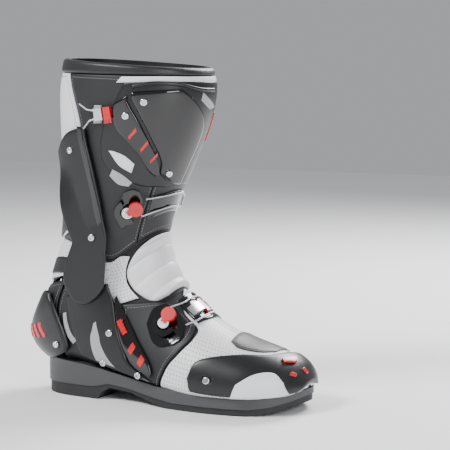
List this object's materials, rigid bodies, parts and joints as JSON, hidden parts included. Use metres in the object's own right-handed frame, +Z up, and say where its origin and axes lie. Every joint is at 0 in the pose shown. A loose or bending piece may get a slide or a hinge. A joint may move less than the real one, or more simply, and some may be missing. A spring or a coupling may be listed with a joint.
{
  "type": "motorcycle racing boot",
  "caption": "Right road-racing motorcycle boot: hinged ankle brace, shin and heel armour, cable dials, calf adjusters and a stiff sole.",
  "frame": {"origin": "on the ground, on the flat face of the heel tread", "axes": "+X to the toe, +Y to the inner side, +Z up the leg"},
  "size_m": [0.3077, 0.1367, 0.3396],
  "materials": {
    "black_rubber": "matt moulded",
    "grey_rubber": "satin moulded",
    "board": "fibre board",
    "lining": "padded mesh",
    "white_leather": "fine grain",
    "grey_leather": "fine grain",
    "black_leather": "padded",
    "grey_plastic": "satin moulded",
    "black_plastic": "high gloss",
    "gloss_strap": "gloss coated",
    "white_plastic": "satin",
    "red_plastic": "gloss",
    "steel": "polished"
  },
  "bodies": {
    "foot": {"outsole": "black_rubber", "midsole": "grey_rubber", "insole_board": "board", "footbed": "lining", "vamp_lateral": "white_leather", "vamp_medial": "white_leather", "instep_panel": "grey_leather", "quarter_lateral": "grey_leather", "quarter_medial": "grey_leather", "heel_counter": "grey_leather", "flex_panel": "white_leather", "ankle_panel_lateral": "white_leather", "ankle_panel_medial": "white_leather", "achilles_panel": "white_leather", "foot_liner": "lining", "ankle_liner": "lining", "yoke_lateral": "grey_plastic", "yoke_medial": "grey_plastic", "hinge_pins": "steel", "heel_cup": "grey_plastic", "vent_plate": "black_plastic", "toe_guard": "grey_plastic", "toe_puck": "white_plastic", "gear_pad": "black_leather", "instep_strap": "gloss_strap", "instep_bracket": "steel", "instep_dial_base": "black_plastic", "instep_dial_hub": "black_plastic", "instep_cable": "steel", "foot_screws": "steel"},
    "shaft": {"shaft_liner": "lining", "shaft_front": "grey_leather", "shaft_lateral": "grey_leather", "shaft_medial": "grey_leather", "calf_panel": "white_leather", "collar": "black_leather", "arm_lateral": "grey_plastic", "arm_medial": "grey_plastic", "shin_frame": "grey_plastic", "shin_plate": "black_plastic", "shin_side_plate": "black_plastic", "shin_strap": "gloss_strap", "achilles_guard": "black_plastic", "shin_dial_base": "black_plastic", "shin_dial_hub": "black_plastic", "shin_cable": "steel", "calf_blocks": "steel", "calf_bails": "steel", "shaft_screws": "steel"},
    "toe_vent": {"toe_vent_slider": "red_plastic"},
    "instep_hook": {"instep_hook": "red_plastic"},
    "instep_release": {"instep_release": "red_plastic"},
    "instep_rotor": {"instep_rotor": "black_plastic"},
    "instep_crank": {"instep_crank": "black_plastic"},
    "shin_release": {"shin_release": "red_plastic"},
    "shin_rotor": {"shin_rotor": "black_plastic"},
    "shin_crank": {"shin_crank": "black_plastic"},
    "calf_lever_lateral": {"calf_lever_lateral": "red_plastic"},
    "calf_lever_medial": {"calf_lever_medial": "red_plastic"},
    "vent_shutter": {"vent_shutter": "red_plastic"}
  },
  "joints": [
    {"name": "ankle_flex", "type": "hinge", "parent": "foot", "child": "shaft", "pos_m": [0.016, 0, 0.112], "axis": [0, 1, 0], "range_deg": [-10, 16], "deforming": ["flex_panel", "ankle_panel_lateral", "ankle_panel_medial", "achilles_panel", "ankle_liner"]},
    {"name": "instep_dial_turn", "type": "hinge", "parent": "foot", "child": "instep_rotor", "pos_m": [0.09912, -0.04047, 0.08089], "axis": [0.2043, -0.8553, 0.4762], "continuous": true},
    {"name": "instep_crank_fold", "type": "hinge", "parent": "instep_rotor", "child": "instep_crank", "pos_m": [0.10059, -0.04886, 0.08452], "axis": [0.8922, -0.0375, -0.4501], "range_deg": [0, 110]},
    {"name": "instep_release_press", "type": "slide", "parent": "foot", "child": "instep_release", "axis": [-0.2043, 0.8553, -0.4762], "range_m": [0, 0.0015], "stiffness_N_per_m": 400},
    {"name": "shin_dial_turn", "type": "hinge", "parent": "shaft", "child": "shin_rotor", "pos_m": [0.06018, -0.0448, 0.19078], "axis": [0.4921, -0.8302, -0.2619], "continuous": true},
    {"name": "shin_crank_fold", "type": "hinge", "parent": "shin_rotor", "child": "shin_crank", "pos_m": [0.0639, -0.05276, 0.18788], "axis": [0.326, 0.4547, -0.8288], "range_deg": [0, 110]},
    {"name": "shin_release_press", "type": "slide", "parent": "shaft", "child": "shin_release", "axis": [-0.4921, 0.8302, 0.2619], "range_m": [0, 0.0015], "stiffness_N_per_m": 400},
    {"name": "calf_lever_lateral_open", "type": "hinge", "parent": "shaft", "child": "calf_lever_lateral", "pos_m": [0.05444, -0.06607, 0.28713], "axis": [-0.1242, -0.0916, 0.988], "range_deg": [0, 80]},
    {"name": "calf_lever_medial_open", "type": "hinge", "parent": "shaft", "child": "calf_lever_medial", "pos_m": [0.09613, 0.05341, 0.2922], "axis": [0.0774, -0.1293, -0.9886], "range_deg": [0, 80]},
    {"name": "vent_shutter_slide", "type": "slide", "parent": "foot", "child": "vent_shutter", "axis": [-0.4178, 0.1154, 0.9012], "range_m": [0, 0.004]},
    {"name": "toe_vent_slide", "type": "slide", "parent": "foot", "child": "toe_vent", "axis": [0.3553, 0.9346, 0.0133], "range_m": [0, 0.003]},
    {"name": "instep_hook_open", "type": "hinge", "parent": "foot", "child": "instep_hook", "pos_m": [0.11997, 0.00471, 0.09435], "axis": [-0.7858, -0.0049, 0.6185], "range_deg": [0, 45]}
  ]
}
